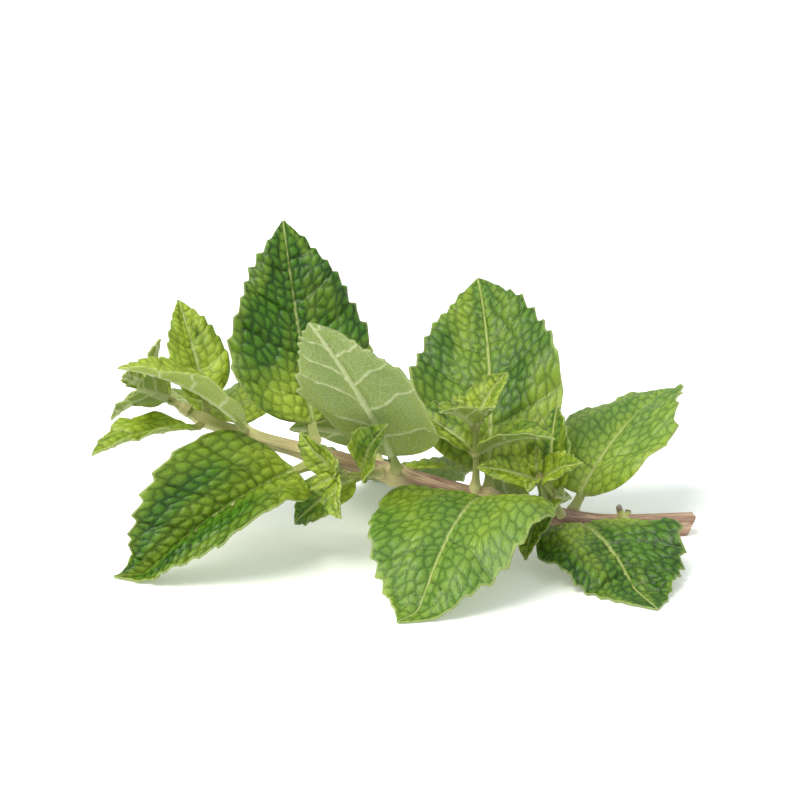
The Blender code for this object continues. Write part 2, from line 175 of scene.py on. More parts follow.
# %% The camera
ELEVATION = math.radians(15)
LENS = 120.0
SENSOR = 36.0
VIEW_WIDTH = 0.146  # how much of the table's width the picture shows at the sprig
aim_at = Vector((0, 0, 0.027))
distance = VIEW_WIDTH * LENS / SENSOR
camera = bpy.data.cameras.new("camera")
camera.lens = LENS
camera.sensor_width = SENSOR
camera_object = bpy.data.objects.new("camera", camera)
offset = Vector((0, -math.cos(ELEVATION), math.sin(ELEVATION))) * distance
camera_object.location = aim_at + offset
camera_object.rotation_euler = (-offset).to_track_quat("-Z", "Y").to_euler()
bpy.context.scene.collection.objects.link(camera_object)
bpy.context.scene.camera = camera_object
print("camera distance, mm:", round(distance / MM))

# %% [markdown]
# ## The stem's course
#
# A cut mint stem lies almost straight at its old end and rises where its leaves prop it up.
# It could be a curve object, but every leaf has to know where the stem is and which way it
# runs, so it is described by nine places and a smooth curve through them, worked out here.
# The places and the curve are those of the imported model, so each leaf stays where it was.

# %% Places along the stem
STEM_COURSE = {
    "cut": (58, 5.8, 1.9),
    "flat_end": (44, 4.2, 1.9),
    "node_a": (34, 2.9, 3.2),
    "node_b": (18, 0.4, 8.0),
    "node_c": (1, -1.0, 13.5),
    "node_d": (-14, -0.8, 17.5),
    "node_e": (-26, 0.6, 20.5),
    "node_f": (-34, 2.2, 23.0),
    "tip": (-38.5, 3.2, 25.5),
}
MIDDLE = Vector((2.145, 1.14, 0)) * MM
COURSE = [Vector(point) * MM - MIDDLE for point in STEM_COURSE.values()]
PLACES = list(STEM_COURSE)
LAST = len(COURSE) - 1

STEM_HALF_BASE = 1.9 * MM
STEM_HALF_TIP = 0.7 * MM
STEM_TAPER = 1.1  # above 1 the stem stays thick for longer
STEM_TWIST = math.radians(45)
NODE_SWELL = 0.28  # how much thicker the stem is at a joint
NODE_REACH = 2.2 * MM
CORNER_REACH = 1.2  # how much farther out the stem's ribs are than its flats


def stem_point(at):
    """The centreline at a fractional index into the course: a Catmull-Rom curve."""
    i = min(int(at), LAST - 1)
    f = at - i
    here, there = COURSE[i], COURSE[i + 1]
    if i == 0:
        return here.lerp(there, f)
    after = COURSE[i + 2] if i + 2 < len(COURSE) else there * 2 - here
    slope_here = (there - COURSE[i - 1]) / 2
    slope_there = (after - here) / 2
    return (
        here * (2 * f**3 - 3 * f**2 + 1)
        + slope_here * (f**3 - 2 * f**2 + f)
        + there * (3 * f**2 - 2 * f**3)
        + slope_there * (f**3 - f**2)
    )


def stem_direction(at):
    """The unit direction along the stem, towards the tip."""
    step = 0.02
    low, high = max(at - step, 0), min(at + step, LAST)
    return (stem_point(high) - stem_point(low)).normalized()


def node_closeness(at):
    """1 at a leaf joint and falling to 0 a few millimetres from it."""
    here = stem_point(at)
    nodes = COURSE[PLACES.index("node_b") : PLACES.index("tip")]
    return min(sum(math.exp(-(((here - node).length / NODE_REACH) ** 2)) for node in nodes), 1)


def stem_half(at):
    """Half the stem's width across its flats: tapered, and swollen at each node."""
    share = max(0.0, at - 1) / (LAST - 1)
    half = STEM_HALF_BASE + (STEM_HALF_TIP - STEM_HALF_BASE) * share**STEM_TAPER
    return half * (1 + NODE_SWELL * node_closeness(at))


print("stem length, mm:", round(sum((a - b).length for a, b in zip(COURSE, COURSE[1:])) / MM))

# %% [markdown]
# ## The net of veins
#
# A mint leaf has one midrib and five or six side veins on each side, which run forward to
# the teeth. Smaller veins cross between them and shut the blade into puffed cells a little
# under two millimetres wide, with a finer net inside. Such cells could be carved one by one.
# A Voronoi pattern gives them at once: its edges meet in threes, as small veins do. It is
# laid out in leaf millimetres, and its rows follow the side veins.
#
# Each point of a leaf carries three small sets of numbers for this:
# - vein: which side vein it is at, how far it is from the midrib, how far apart the side
#   veins are
# - blade: its share along the midrib, its share across, and how strongly it puffs
# - tone: how young, how yellow at the foot, and a number that makes each leaf its own

# %% The net of veins, for a geometry tree or a material
CELLS_PER_GAP = 4.0  # puffed cells from one side vein to the next, about 1.8 mm each
CELL = 1.8 * MM
FINER = 3.0  # finer cells across one puffed cell
SIDE_VEIN_HALF = 0.42 * MM
MIDRIB_HALF = 0.75 * MM
VEIN_THINNING = 110.0  # to the metre: a side vein is half as wide 9 mm out
VEIN_WANDER = 0.16  # how far a side vein strays, as a share of the gap to the next


def attribute(tree, name):
    """A point's own numbers, read in whichever kind of tree this is."""
    if tree.type == "GEOMETRY":
        return add(tree, "GeometryNodeInputNamedAttribute", Name=name, data_type="FLOAT_VECTOR")
    return add(tree, "ShaderNodeAttribute", attribute_name=name).outputs["Vector"]


def vein_net(tree):
    """Adds the nodes that draw the net, and returns its lines and cells by name."""
    node = partial(add, tree)
    vein, blade, tone = (
        node("ShaderNodeSeparateXYZ", attribute(tree, name)).outputs
        for name in ("vein", "blade", "tone")
    )
    seat = node("ShaderNodeCombineXYZ", blade["X"], blade["Y"], tone["Z"])
    drift = node("ShaderNodeTexNoise", Vector=seat, Scale=2.6, Detail=0.0).outputs[0]
    drift = node(MATH, drift, 0.5, operation="SUBTRACT")
    number = node(MATH, drift, VEIN_WANDER, vein["X"], operation="MULTIPLY_ADD")
    out = node(MATH, vein["Y"], operation="ABSOLUTE")
    off_side = node(MATH, number, 0.5, operation="PINGPONG")
    off_side = node(MATH, off_side, vein["Z"], operation="MULTIPLY")
    narrowing = node(MATH, out, VEIN_THINNING, 1.0, operation="MULTIPLY_ADD")
    off_side = node(MATH, off_side, narrowing, operation="MULTIPLY")
    rib_half = node(RANGE, blade["X"], 0.0, 1.0, MIDRIB_HALF, MIDRIB_HALF * 0.35, **SMOOTH)
    off_rib = node(MATH, out, rib_half, operation="DIVIDE")
    row = node(MATH, number, CELLS_PER_GAP, operation="MULTIPLY")
    column = node(MATH, vein["Y"], 1 / CELL, tone["Z"], operation="MULTIPLY_ADD")
    place = node("ShaderNodeCombineXYZ", row, column)
    flat = {"Vector": place, "voronoi_dimensions": "2D"}
    even = {"Scale": 1.0, "Randomness": 0.7}
    edges = {"feature": "DISTANCE_TO_EDGE"}
    cells = node("ShaderNodeTexVoronoi", **flat, **even, **edges)
    finer = node("ShaderNodeTexVoronoi", Scale=FINER, **flat, **edges)
    lot = node("ShaderNodeTexVoronoi", **flat, **even, feature="F1")
    return {
        "side": node(RANGE, off_side, 0.0, SIDE_VEIN_HALF, 1.0, 0.0, **SMOOTH),
        "side_line": node(RANGE, off_side, 0.0, 0.55 * SIDE_VEIN_HALF, 1.0, 0.0, **SMOOTH),
        "rib": node(RANGE, off_rib, 0.0, 1.0, 1.0, 0.0, **SMOOTH),
        "cell": node(RANGE, cells, 0.0, 0.36, **SMOOTH),
        "cell_line": node(RANGE, cells, 0.02, 0.13, 1.0, 0.0, **SMOOTH),
        "fine": node(RANGE, finer, 0.0, 0.35, **SMOOTH),
        "lot": node("ShaderNodeSeparateXYZ", lot.outputs["Color"]).outputs["X"],
        "drift": drift,
        "seat": seat,
        "share": blade["X"],
        "across": blade["Y"],
        "puff": blade["Z"],
        "young": tone["X"],
        "sage": tone["Y"],
    }


print("cells, mm:", CELL / MM, "and inside them:", round(CELL / FINER / MM, 2))

# %% [markdown]
# ## Relief
#
# On the real leaf the cells stand up about a third of a millimetre between sunken veins. A
# bump in the material would look flat at the leaf's edge, so the mesh itself is moved. The
# height is a puffed cell, minus the grooves of the side veins and the midrib, and a geometry
# tree moves each point along its normal by that height. The leaf gets its thickness
# afterwards, so a groove above becomes a raised vein beneath.

# %% The relief tree
CELL_HEIGHT = 0.34 * MM
FINE_HEIGHT = 0.07 * MM
SIDE_GROOVE = 0.52 * MM
MIDRIB_GROOVE = 0.34 * MM

relief = bpy.data.node_groups.new("leaf_relief", "GeometryNodeTree")
relief.interface.new_socket("Geometry", in_out="INPUT", socket_type="NodeSocketGeometry")
relief.interface.new_socket("Geometry", in_out="OUTPUT", socket_type="NodeSocketGeometry")
node = partial(add, relief)
net = vein_net(relief)
uneven = node(MATH, net["lot"], 0.8 * CELL_HEIGHT, 0.6 * CELL_HEIGHT, operation="MULTIPLY_ADD")
height = node(MATH, net["cell"], uneven, operation="MULTIPLY")
for part, depth in [("fine", FINE_HEIGHT), ("side", -SIDE_GROOVE), ("rib", -MIDRIB_GROOVE)]:
    height = node(MATH, net[part], depth, height, operation="MULTIPLY_ADD")
height = node(MATH, height, net["puff"], operation="MULTIPLY")
normal = node("GeometryNodeInputNormal")
push = node("ShaderNodeVectorMath", Vector=normal, Scale=height, operation="SCALE")
start = node("NodeGroupInput")
moved = node("GeometryNodeSetPosition", Geometry=start, Offset=push)
node("NodeGroupOutput", moved)
print("relief nodes:", len(relief.nodes))

# %% [markdown]
# ## The form of one leaf
#
# A mint leaf is an egg-shaped blade with leaning teeth, on a short stalk. No two bend alike,
# so none is copied: each starts as a flat grid whose rows follow its side veins. The grid is
# then laid along a midrib that sags, swings and twists, its halves are folded up and curled,
# and whatever would sink into the table is rested on it. The steps are those of the packed
# model on a closer grid, so the two lie over one another.

# %% The leaf's dimensions
LEAF_THICK = 0.32 * MM
PETIOLE_THICK = 1.5 * MM
PETIOLE_HALF = 0.75 * MM
JOINT_GAP = 0.3 * MM
JOINT_SINK = 1.8 * MM  # how far a stalk runs on into the stem

BASE_ROUNDING = 0.5  # the lower, the rounder and wider the blade's foot
TIP_POINTING = 1.0  # the higher, the longer and finer its point
VEIN_SWEEP = 0.62  # how far forward a side vein runs for each step outwards
VEIN_ARCH = 1.4  # above 1 a side vein leaves the midrib steeply and then bends forward
TEETH_PER_VEIN = 2
TOOTH_DEPTH = 1.0 * MM
TOOTH_SHARPNESS = 1.35  # above 1 a tooth ends in a sharp point with hollow sides
TOOTH_PEAK = 0.72  # the share of a tooth's length at which it is highest
TOOTH_LEAN = 0.8
TOOTH_EDGE = 8  # the higher, the less of the blade inside its edge a tooth moves
TOOTHLESS_FOOT = 0.22  # the share of the blade over which its teeth grow to full size
TOOTHLESS_TIP = 0.12  # the share over which they shrink again
QUILT_HEIGHT = 0.5 * MM
CRUMPLE = 0.04  # loose waves in the blade, as a share of its width
EDGE_WAVES = 2.3
SAG_BUILD = 1.2
SPINE_STEPS = 200
LANDING = 3.5 * MM  # how far a drooping midrib goes on while it levels out over the table
TABLE_PRESS = 1.2 * MM  # how far under the table its end would come to lie
TABLE_SOFTNESS = 0.7 * MM
TABLE_AIR = 0.12 * MM
POINT_SPACING = 0.36 * MM  # between the points of a finished leaf
TIP_BLUNTING = 0.005  # the share of the blade by which its last row stops short
print("leaf thickness, mm:", LEAF_THICK / MM, "and stalk:", PETIOLE_THICK / MM)


@dataclass
class Leaf:
    """One leaf: where it starts, which way it sets off, and how its blade is bent."""

    name: str
    foot: Vector
    outward: Vector
    aim: Matrix
    length: float
    width: float
    petiole: float
    sag: float = 0.0
    swing: float = 0.0
    twist: float = 0.0
    fold: float = 0.0
    curl: float = 0.0
    wave: float = 0.0
    phase: float = 0.0
    teeth: int = 10
    scale: float = 1.0
    young: float = 0.0
    sage: float = 0.0
    puffy: float = 1.0
    seed: float = 0.0
    sink: float = JOINT_SINK


# %% The flat blade


def ovate(x):
    """The outline's half width at a share x of the blade, as a share of its widest."""
    peak = BASE_ROUNDING / (BASE_ROUNDING + TIP_POINTING)
    highest = peak**BASE_ROUNDING * (1 - peak) ** TIP_POINTING
    x = np.clip(x, 0, 1)
    return x**BASE_ROUNDING * (1 - x) ** TIP_POINTING / highest


def saw(beat):
    """A leaning tooth: it climbs slowly and drops fast."""
    return np.where(beat < TOOTH_PEAK, beat / TOOTH_PEAK, (1 - beat) / (1 - TOOTH_PEAK))


def flat_blade(leaf, t, s):
    """Where each grid point lies on the flat leaf: across, along, and how far it puffs."""
    blade = t > 0
    sweep = VEIN_SWEEP * np.sin(np.pi * np.clip(t, 0, 1)) ** 0.7
    shape = ovate(t)
    for _ in range(6):
        shape = ovate(t + sweep * shape * leaf.width / 2 / leaf.length)
    to_foot = (t * leaf.length + leaf.petiole) / MM
    flare = 1 + 0.7 * np.exp(-np.clip(to_foot, 0, None) / 0.8)
    stalk_half = PETIOLE_HALF * leaf.scale * np.clip(1 - t, 0, 1) * flare
    reach = np.maximum(leaf.width / 2 * shape * blade, stalk_half)
    beat = t * leaf.teeth
    odd = 0.72 + 0.28 * np.sin(7.3 * np.floor(beat) + leaf.phase + 2.1 * (s > 0))
    tooth = odd * saw(beat % 1.0) ** TOOTH_SHARPNESS
    depth = TOOTH_DEPTH * leaf.scale**2 * np.clip(2 * shape, 0, 1) * blade
    depth = depth * np.clip((t - 0.03) / TOOTHLESS_FOOT, 0, 1)
    depth = depth * np.clip((1 - t) / TOOTHLESS_TIP, 0, 1)
    edge = np.abs(s) ** TOOTH_EDGE * depth * tooth
    across = s * reach + np.sign(s) * edge
    along = leaf.length * t + sweep * reach * np.abs(s) ** VEIN_ARCH * blade + TOOTH_LEAN * edge
    cell = t * leaf.teeth / TEETH_PER_VEIN + 0.25 * (s > 0)
    between = np.clip(4 * np.abs(s) * (1.15 - np.abs(s)), 0, 1)
    puff = np.abs(np.sin(np.pi * cell)) ** 0.8 * between * np.clip(1.5 * shape, 0, 1) * blade
    crumple = np.sin(9.0 * t + 3.1 * s + leaf.seed) * np.sin(5.0 * s - 6.0 * t + 2.3 * leaf.seed)
    lift = QUILT_HEIGHT * leaf.scale * puff
    crumple = crumple * np.abs(s) * np.clip(6 * t, 0, 1) * np.clip(2 * shape, 0, 1)
    lift = lift + CRUMPLE * leaf.width * crumple
    return across, along, lift, cell, shape


print("widest at a share of:", round(BASE_ROUNDING / (BASE_ROUNDING + TIP_POINTING), 2))

# %% Bending it


def turned(leaf, share):
    """The leaf's three directions at each share of its whole length, as (n, 3, 3)."""
    axes = []
    for u in share:
        bend = Matrix.Rotation(leaf.sag * u**SAG_BUILD, 3, "Y")
        bend = bend @ Matrix.Rotation(leaf.swing * u, 3, "Z")
        bend = bend @ Matrix.Rotation(leaf.twist * u, 3, "X")
        axes.append(np.array(leaf.aim @ bend))
    return np.array(axes)


def midrib(leaf):
    """Shares along the midrib, its points, and the leaf's three directions at each point.

    The midrib follows the leaf's own bend, but near the table it comes down ever less
    steeply, so that the end of a drooping leaf lies down instead of sinking in.
    """
    step = (leaf.petiole + leaf.length) / SPINE_STEPS
    share = np.arange(int(SPINE_STEPS * 1.25) + 1) / SPINE_STEPS
    point = np.array(leaf.foot)
    points, frames = [], []
    for axes in turned(leaf, share):
        ahead, left = axes[:, 0], axes[:, 1]
        steepest = -max(point[2] + TABLE_PRESS, 0) / LANDING
        if ahead[2] < steepest:
            level = ahead[:2] / np.hypot(*ahead[:2]) * np.sqrt(1 - steepest**2)
            ahead = np.array([*level, steepest])
            left = left - ahead * left.dot(ahead)
            left = left / np.linalg.norm(left)
        points.append(point)
        frames.append(np.stack([ahead, left, np.cross(ahead, left)], axis=1))
        point = point + ahead * step
    return share, np.array(points), np.array(frames)


def bent(leaf, t, across, along, puff):
    """Carries flat leaf points onto the bent leaf, and rests what would sink on the table.

    The second thing returned is how free of the table each point is: 0 where it is pressed.
    """
    whole = leaf.petiole + leaf.length
    knots, points, frames = midrib(leaf)
    share = (along + leaf.petiole) / whole
    ahead = np.maximum(share, 0)
    spine = np.stack([np.interp(ahead, knots, points[:, k]) for k in range(3)], axis=1)
    spine += np.minimum(share, 0)[:, None] * whole * np.array(leaf.outward)
    frames = frames.reshape(len(knots), 9)
    frame = np.stack([np.interp(ahead, knots, frames[:, k]) for k in range(9)], axis=1)
    frame = frame.reshape(len(t), 3, 3)
    half = leaf.width / 2
    onset = np.clip(t * 8, 0, 1)
    fold = leaf.fold * onset
    rate = leaf.curl * onset / half + 1e-6
    reach = np.abs(across)
    out = (np.sin(fold + rate * reach) - np.sin(fold)) / rate
    lift = (np.cos(fold) - np.cos(fold + rate * reach)) / rate
    side = np.sign(across)
    ripple = np.sin(2 * np.pi * EDGE_WAVES * t + leaf.phase + 1.9 * (side > 0))
    lift = lift + puff + leaf.wave * (reach / half) ** 2 * ripple * onset
    place = (
        spine
        + frame[:, :, 1] * (side * out)[:, None]
        + frame[:, :, 2] * lift[:, None]
    )
    floor = LEAF_THICK + TABLE_AIR
    above = place[:, 2] - floor
    place[:, 2] = floor + (above + np.sqrt(above**2 + TABLE_SOFTNESS**2)) / 2
    return place, np.clip(1 + above / TABLE_SOFTNESS, 0, 1)


# %% [markdown]
# ## From grid to leaf
#
# A leaf is a third of a millimetre thick, and its midrib stands out below. Two grids back to
# back would have to be sewn together at every tooth. Here one operator makes one grid, only
# its points are moved, and Solidify gives it a lower face and a rim. The thickness is small
# in the blade and greater under the midrib, and on the stalk it is greatest in the middle,
# which rounds the stalk like a real one.

# %% A grid that knows its own rows


def grid_sheet(name, columns, rows):
    """A flat grid, with each point's share across (s) and its row's own value (t)."""
    bm = bmesh.new()
    bmesh.ops.create_grid(bm, x_segments=columns, y_segments=len(rows) - 1, size=1)
    mesh = bpy.data.meshes.new(name)
    bm.to_mesh(mesh)
    bm.free()
    flat = np.empty(len(mesh.vertices) * 3)
    mesh.vertices.foreach_get("co", flat)
    flat = flat.reshape(-1, 3)
    row = np.rint((flat[:, 1] + 1) / 2 * (len(rows) - 1)).astype(int)
    return mesh, rows[row], -flat[:, 0]


def keep(mesh, name, *columns):
    """Stores three numbers with each point, under a name that nodes can read."""
    values = np.stack([np.broadcast_to(column, len(mesh.vertices)) for column in columns], axis=1)
    layer = mesh.attributes.new(name, "FLOAT_VECTOR", "POINT")
    layer.data.foreach_set("vector", values.astype(float).ravel())


def linked(name, mesh):
    """A new object with this mesh, placed in the scene at the origin."""
    obj = bpy.data.objects.new(name, mesh)
    bpy.context.scene.collection.objects.link(obj)
    return obj


def baked(obj):
    """The object's mesh as its modifiers leave it. The object itself is removed."""
    bpy.context.view_layer.update()
    graph = bpy.context.evaluated_depsgraph_get()
    mesh = bpy.data.meshes.new_from_object(obj.evaluated_get(graph))
    bpy.data.objects.remove(obj)
    return mesh


# %% The rows and columns of a leaf


def leaf_rows(leaf):
    """Rows through the stalk, some close ones where the blade begins, then even ones."""
    spacing = POINT_SPACING * (0.5 + 0.5 * leaf.scale)
    stalk = np.arange(-(leaf.petiole + leaf.sink), -0.5 * spacing, spacing) / leaf.length
    count = int(leaf.length / spacing / leaf.teeth) * leaf.teeth
    even = np.arange(1, count + 1) / count
    even[-1] -= TIP_BLUNTING
    start_rows = even[0] * np.array([0.0, 0.06, 0.2, 0.45])
    return np.concatenate([stalk, start_rows, even])


def leaf_mesh(leaf):
    """One finished leaf as a closed mesh with its relief and its thickness."""
    rows = leaf_rows(leaf)
    spacing = POINT_SPACING * (0.5 + 0.5 * leaf.scale)
    columns = 2 * int(leaf.width / spacing / 2)
    mesh, t, s = grid_sheet(leaf.name, columns, rows)
    across, along, puff, cell, shape = flat_blade(leaf, t, s)
    place, free = bent(leaf, t, across, along, puff)
    mesh.vertices.foreach_set("co", place.ravel())
    gap = leaf.length * TEETH_PER_VEIN / leaf.teeth * 0.85
    at_edge = np.clip((1 - np.abs(s)) * leaf.width / 2 / MM, 0, 1)
    strength = leaf.puffy * leaf.scale * np.clip(2.2 * shape, 0, 1) * (t > 0)
    strength = strength * (0.35 + 0.65 * at_edge) * free
    keep(mesh, "vein", cell, across, gap)
    keep(mesh, "blade", t, s, strength)
    keep(mesh, "tone", leaf.young, leaf.sage, leaf.seed)
    obj = linked(leaf.name, mesh)
    thick = PETIOLE_THICK * leaf.scale
    thin = LEAF_THICK / thick
    rib = 0.55 * np.exp(-((across / (0.55 * MM)) ** 2)) * np.clip(1 - t, 0, 1) ** 0.7
    round_stalk = 0.3 + 0.7 * np.sqrt(np.clip(1 - s**2, 0, 1))
    share = np.where(t <= 0, round_stalk, thin + (1 - thin) * rib)
    group = obj.vertex_groups.new(name="thickness")
    for index, value in enumerate(share):
        group.add([index], value, "REPLACE")
    pushed = obj.modifiers.new("relief", "NODES")
    pushed.node_group = relief
    solid = obj.modifiers.new("thickness", "SOLIDIFY")
    solid.thickness = thick
    solid.offset = -1
    solid.vertex_group = group.name
    solid.material_offset = 1
    mesh.materials.append(None)
    mesh.materials.append(None)
    finished = baked(obj)
    bm = bmesh.new()
    bm.from_mesh(finished)
    bmesh.ops.remove_doubles(bm, verts=bm.verts, dist=SAME_POINT)
    for vert in bm.verts:
        vert.co.z = max(vert.co.z, 0)
    bm.to_mesh(finished)
    bm.free()
    return finished


# %% [markdown]
# ## Leaf materials
#
# The leaf of garden mint is a thin, slightly waxy green sheet that lets light through. Above
# it is deep green in the grooves and lighter where the cells puff up to the light: painted
# shade in the grooves and painted light on the puffs, over the relief's own shading. The lines
# of the net and the side veins are painted darker still, as painted shade in their grooves. It
# has a pale midrib and a yellower foot. Below it is paler and greyer, and its raised veins are
# cream. Light that enters one side leaves by the other, so each material mixes a share of
# translucent light with the waxy surface.

# %% One recipe for both sides of a leaf
PETIOLE = "#b5bd72"
JOINT_CREAM = "#d2cc92"
DOWN_SCALE = 1 / (0.4 * MM)  # the soft grain of the skin, drawn coarser than the real 0.1 mm


def leaf_skin(name, grown, fresh, sage, vein, glow, roughness, under):
    """A leaf's skin. Each pair is a groove's colour and a cell top's, in three tones.
    The darker is painted shade in the grooves, and the lighter is painted light on the puffs.
    """
    material, tree, shader, node = new_material(name)
    net = vein_net(tree)
    cloud = node("ShaderNodeTexNoise", Vector=net["seat"], Scale=3.5, Detail=4.0).outputs[0]
    # The share of the top colour has two parts. Random mottling over the leaf and from cell to
    # cell is the leaf's own tone. The cell's shape makes it lighter towards its middle, as painted
    # light on the puff, and darker at its edges, as painted shade in the groove.
    mottle_and_painted_light = node(MATH, cloud, 1.4, -0.7, operation="MULTIPLY_ADD")
    mottle_and_painted_light = node(MATH, net["lot"], 0.3, mottle_and_painted_light, operation="MULTIPLY_ADD")
    mottle_and_painted_light = node(MATH, net["cell"], 0.8, mottle_and_painted_light, operation="MULTIPLY_ADD")
    grown, fresh, sage = (
        node(MIX, mottle_and_painted_light, linear(low), linear(high), **COLOUR) for low, high in (grown, fresh, sage)
    )
    foot = node(RANGE, net["share"], 0.0, 0.38, 0.6, 0.0, **SMOOTH)
    youth = node(MATH, net["young"], foot, operation="ADD")
    youth = node(MATH, net["drift"], 1.1, youth, operation="MULTIPLY_ADD")
    colour = node(MIX, net["sage"], grown, sage, **COLOUR)
    colour = node(MIX, youth, colour, fresh, **COLOUR)
    # Both faces are darker at the edges of the finer cells and a little lighter in their middles:
    # painted shade and painted light of the fine puckering.
    painted_shade = node(MATH, net["fine"], 0.16, 0.88, operation="MULTIPLY_ADD")
    if not under:
        # Above, the lines of the net and of the side veins are darker still: painted shade in
        # their grooves.
        painted_shade = node(MATH, net["cell_line"], -0.2, painted_shade, operation="MULTIPLY_ADD")
        painted_shade = node(MATH, net["side_line"], -0.34, painted_shade, operation="MULTIPLY_ADD")
    painted_shade = node("ShaderNodeCombineColor", painted_shade, painted_shade, painted_shade)
    colour = node(MIX, 1.0, colour, painted_shade, blend_type="MULTIPLY", **COLOUR)
    if under:
        lines = node(MATH, net["cell_line"], 0.3, operation="MULTIPLY")
        lines = node(MATH, net["side"], 0.8, lines, operation="MULTIPLY_ADD")
        colour = node(MIX, lines, colour, linear(vein), **COLOUR)
    rib = node(MATH, net["rib"], 0.85, operation="MULTIPLY")
    colour = node(MIX, rib, colour, linear(vein), **COLOUR)
    across = node(MATH, net["across"], operation="ABSOLUTE")
    margin = node(RANGE, across, 0.965, 1.0, 0.0, 0.5, **SMOOTH)
    stalk = node(RANGE, net["share"], 0.03, -0.02, **SMOOTH)
    joint = node(RANGE, net["share"], -0.04, -0.1, **SMOOTH)
    for share, tint in [(margin, vein), (stalk, PETIOLE), (joint, JOINT_CREAM)]:
        colour = node(MIX, share, colour, linear(tint), **COLOUR)
    tree.links.new(colour.outputs[2], shader.inputs["Base Color"])
    shader.inputs["Roughness"].default_value = roughness
    shader.inputs["IOR"].default_value = 1.45
    where = node("ShaderNodeTexCoord").outputs["Object"]
    down = node("ShaderNodeTexNoise", Vector=where, Scale=DOWN_SCALE, Detail=2.0).outputs[0]
    height = node(MATH, down, 0.6, net["fine"], operation="MULTIPLY_ADD")
    bump = node("ShaderNodeBump", Height=height, Strength=0.5, Distance=0.06 * MM)
    tree.links.new(bump.outputs[0], shader.inputs["Normal"])
    glowing = node(MIX, 0.5, colour, linear(glow), **COLOUR)
    through = node("ShaderNodeBsdfTranslucent", Color=glowing, Normal=bump)
    both = node("ShaderNodeMixShader", 0.3, shader, through)
    tree.links.new(both.outputs[0], tree.nodes["Material Output"].inputs["Surface"])
    return material


upper_skin = leaf_skin(
    "waxy_leaf_upper_skin",
    grown=("#1a4508", "#50821c"),
    fresh=("#9fba30", "#c2d64c"),
    sage=("#659036", "#8caf4d"),
    vein="#c9d488",
    glow="#a8cc2c",
    roughness=0.38,
    under=False,
)
under_skin = leaf_skin(
    "pale_leaf_under_skin",
    grown=("#8da858", "#a3bc6b"),
    fresh=("#abbd55", "#c2d06b"),
    sage=("#a0b56d", "#b5c782"),
    vein="#e2e7b6",
    glow="#b4cc50",
    roughness=0.55,
    under=True,
)
print("leaf skins:", upper_skin.name, under_skin.name)

# %% [markdown]
# ## The leaves of the main stem
#
# They stand in pairs, each pair crosswise to the next. Some lie on the table and some stand
# up. The lowest are full grown, and the top ones are young, small and yellower. They could be
# scattered by a rule, but a sprig is known by how its few leaves fold and droop, so each has
# its own line of numbers.

# %% Where each leaf goes
ANGLES = ("sag", "swing", "twist", "fold", "curl")


def direction_of(heading, rise):
    """A unit direction from a compass heading (0 is +X, 90 is +Y) and a rise, in degrees."""
    heading, rise = math.radians(heading), math.radians(rise)
    level = Vector((math.cos(heading), math.sin(heading), 0)) * math.cos(rise)
    return level + Vector((0, 0, math.sin(rise)))


def level_aim(heading, rise, roll):
    """The leaf's directions when its upper face is up, then rolled about the midrib."""
    aim = Matrix.Rotation(math.radians(heading), 3, "Z")
    aim = aim @ Matrix.Rotation(-math.radians(rise), 3, "Y")
    return aim @ Matrix.Rotation(math.radians(roll), 3, "X")


def stem_outward(node, direction):
    """The way straight out of the stem that is nearest to a direction."""
    along = stem_direction(PLACES.index(node))
    return (direction - along * direction.dot(along)).normalized()


def stem_foot(node, direction):
    """Where a leaf that sets off this way starts, just clear of the stem's skin."""
    at = PLACES.index(node)
    lean = abs(direction.dot(stem_direction(at)))
    clear = stem_half(at) * CORNER_REACH + JOINT_GAP + PETIOLE_HALF * lean
    return stem_point(at) + stem_outward(node, direction) * clear


def stem_leaf(name, node, heading, rise, length, width, roll=0, petiole=3.2, wave=0, **bends):
    """A leaf of the main stem. Lengths are millimetres and angles degrees."""
    direction = direction_of(heading, rise)
    return Leaf(
        name,
        stem_foot(node, direction),
        stem_outward(node, direction),
        level_aim(heading, rise, roll),
        length * MM,
        width * MM,
        petiole * MM,
        wave=wave * MM,
        **{key: math.radians(value) if key in ANGLES else value for key, value in bends.items()},
    )


